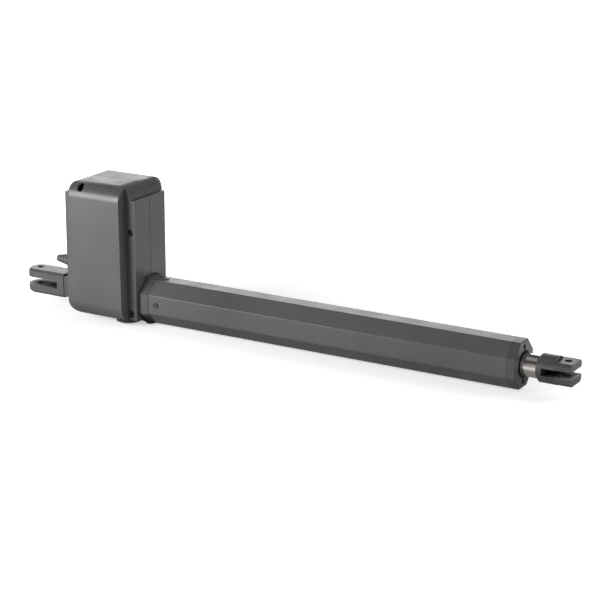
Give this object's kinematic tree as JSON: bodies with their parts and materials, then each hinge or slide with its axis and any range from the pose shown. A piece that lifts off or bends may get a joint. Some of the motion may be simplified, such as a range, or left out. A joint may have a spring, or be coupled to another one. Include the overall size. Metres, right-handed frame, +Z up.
{
  "type": "linear gate operator",
  "caption": "Electromechanical linear arm that pushes a swing gate leaf: cast motor housing, eight-sided tube, sliding rod and a fork at each end.",
  "frame": {"origin": "centre of the rear fork's pivot hole, at the height of the tube's axis", "axes": "+X along the tube and rod towards the front fork, +Z up along the rear pivot's hole"},
  "size_m": [0.8715, 0.11, 0.205],
  "materials": {
    "cover_paint": "semi-matt textured dark grey paint on die-cast aluminium",
    "tube_paint": "semi-matt dark grey powder coat on extruded aluminium",
    "cap_plastic": "dark grey moulded nylon",
    "cast_paint": "dark grey paint on cast metal",
    "cast_bare": "bare die-cast aluminium",
    "zinc_steel": "zinc-plated steel",
    "black_steel": "black oxide steel",
    "rod_steel": "polished steel",
    "ground_steel": "ground steel",
    "bronze": "cast bronze",
    "copper": "enamelled copper",
    "rubber": "black rubber",
    "nylon": "natural nylon",
    "black_plastic": "black moulded plastic",
    "board": "green circuit board",
    "terminal_plastic": "green moulded plastic",
    "magnet": "sintered ferrite",
    "lamination": "stacked steel sheet",
    "carbon": "carbon"
  },
  "bodies": {
    "housing": {"front_cover": "cover_paint", "rear_cover": "cover_paint", "cover_seal": "rubber", "cover_screws": "black_steel", "gear_case": "cast_paint", "case_lid": "cast_bare", "lid_screws": "zinc_steel", "rear_fork": "cast_paint", "fork_bolts": "zinc_steel", "tube": "tube_paint", "tube_screws": "black_steel", "front_insert": "nylon", "front_cap": "cap_plastic", "cap_screws": "black_steel", "rod_bush": "bronze", "rod_wiper": "rubber", "motor_bell": "cast_bare", "motor_can": "black_steel", "motor_cap": "black_plastic", "motor_magnets": "magnet", "motor_bolts": "zinc_steel", "brush_holder": "black_plastic", "motor_brushes": "carbon", "encoder_board": "board", "bearing_outers": "ground_steel", "front_stop": "cap_plastic", "rear_buffer": "rubber", "gland_body": "black_plastic", "gland_nut": "black_plastic", "gland_boot": "rubber", "terminal_board": "board", "terminal_block": "terminal_plastic", "capacitor": "black_plastic", "board_screws": "zinc_steel"},
    "rotor": {"rotor_shaft": "ground_steel", "armature": "lamination", "windings": "copper", "commutator": "copper", "encoder_magnet": "magnet", "worm": "ground_steel", "rotor_bearing_inners": "ground_steel"},
    "wheel": {"worm_wheel": "bronze"},
    "screw": {"lead_screw": "ground_steel", "screw_key": "ground_steel", "screw_tip_guide": "nylon", "screw_bearing_inners": "ground_steel"},
    "sleeve": {"clutch_sleeve": "ground_steel"},
    "shifter": {"clutch_fork": "zinc_steel"},
    "knob": {"release_knob": "black_plastic", "knob_screw": "zinc_steel", "release_cam": "zinc_steel"},
    "rod": {"drive_nut": "bronze", "nut_guide": "nylon", "nut_pins": "zinc_steel", "piston_rod": "rod_steel", "front_fork": "cast_paint", "fork_pin": "zinc_steel"}
  },
  "joints": [
    {"name": "rotor_spin", "type": "hinge", "parent": "housing", "child": "rotor", "pos_m": [0.15, -0.022, 0.03], "axis": [0, 0, 1], "range_deg": [0, 180000]},
    {"name": "wheel_spin", "type": "hinge", "parent": "housing", "child": "wheel", "pos_m": [0.15, 0, 0], "axis": [1, 0, 0], "range_deg": [0, 9000]},
    {"name": "screw_spin", "type": "hinge", "parent": "housing", "child": "screw", "pos_m": [0.15, 0, 0], "axis": [1, 0, 0], "range_deg": [0, 9000]},
    {"name": "rod_slide", "type": "slide", "parent": "housing", "child": "rod", "axis": [1, 0, 0], "range_m": [0, 0.4]},
    {"name": "knob_turn", "type": "hinge", "parent": "housing", "child": "knob", "pos_m": [0.172, -0.02, -0.03], "axis": [0, 0, 1], "range_deg": [0, 90]},
    {"name": "shifter_slide", "type": "slide", "parent": "housing", "child": "shifter", "axis": [1, 0, 0], "range_m": [0, 0.0045]},
    {"name": "sleeve_slide", "type": "slide", "parent": "screw", "child": "sleeve", "axis": [1, 0, 0], "range_m": [0, 0.0045]}
  ],
  "couplings": [
    {"joint": "rotor_spin", "follows": "rod_slide", "rad_per_m": 7854},
    {"joint": "wheel_spin", "follows": "rod_slide", "rad_per_m": 392.7},
    {"joint": "screw_spin", "follows": "rod_slide", "rad_per_m": 392.7},
    {"joint": "knob_turn", "follows": "shifter_slide", "rad_per_m": 349.06},
    {"joint": "sleeve_slide", "follows": "shifter_slide", "ratio": 1}
  ]
}
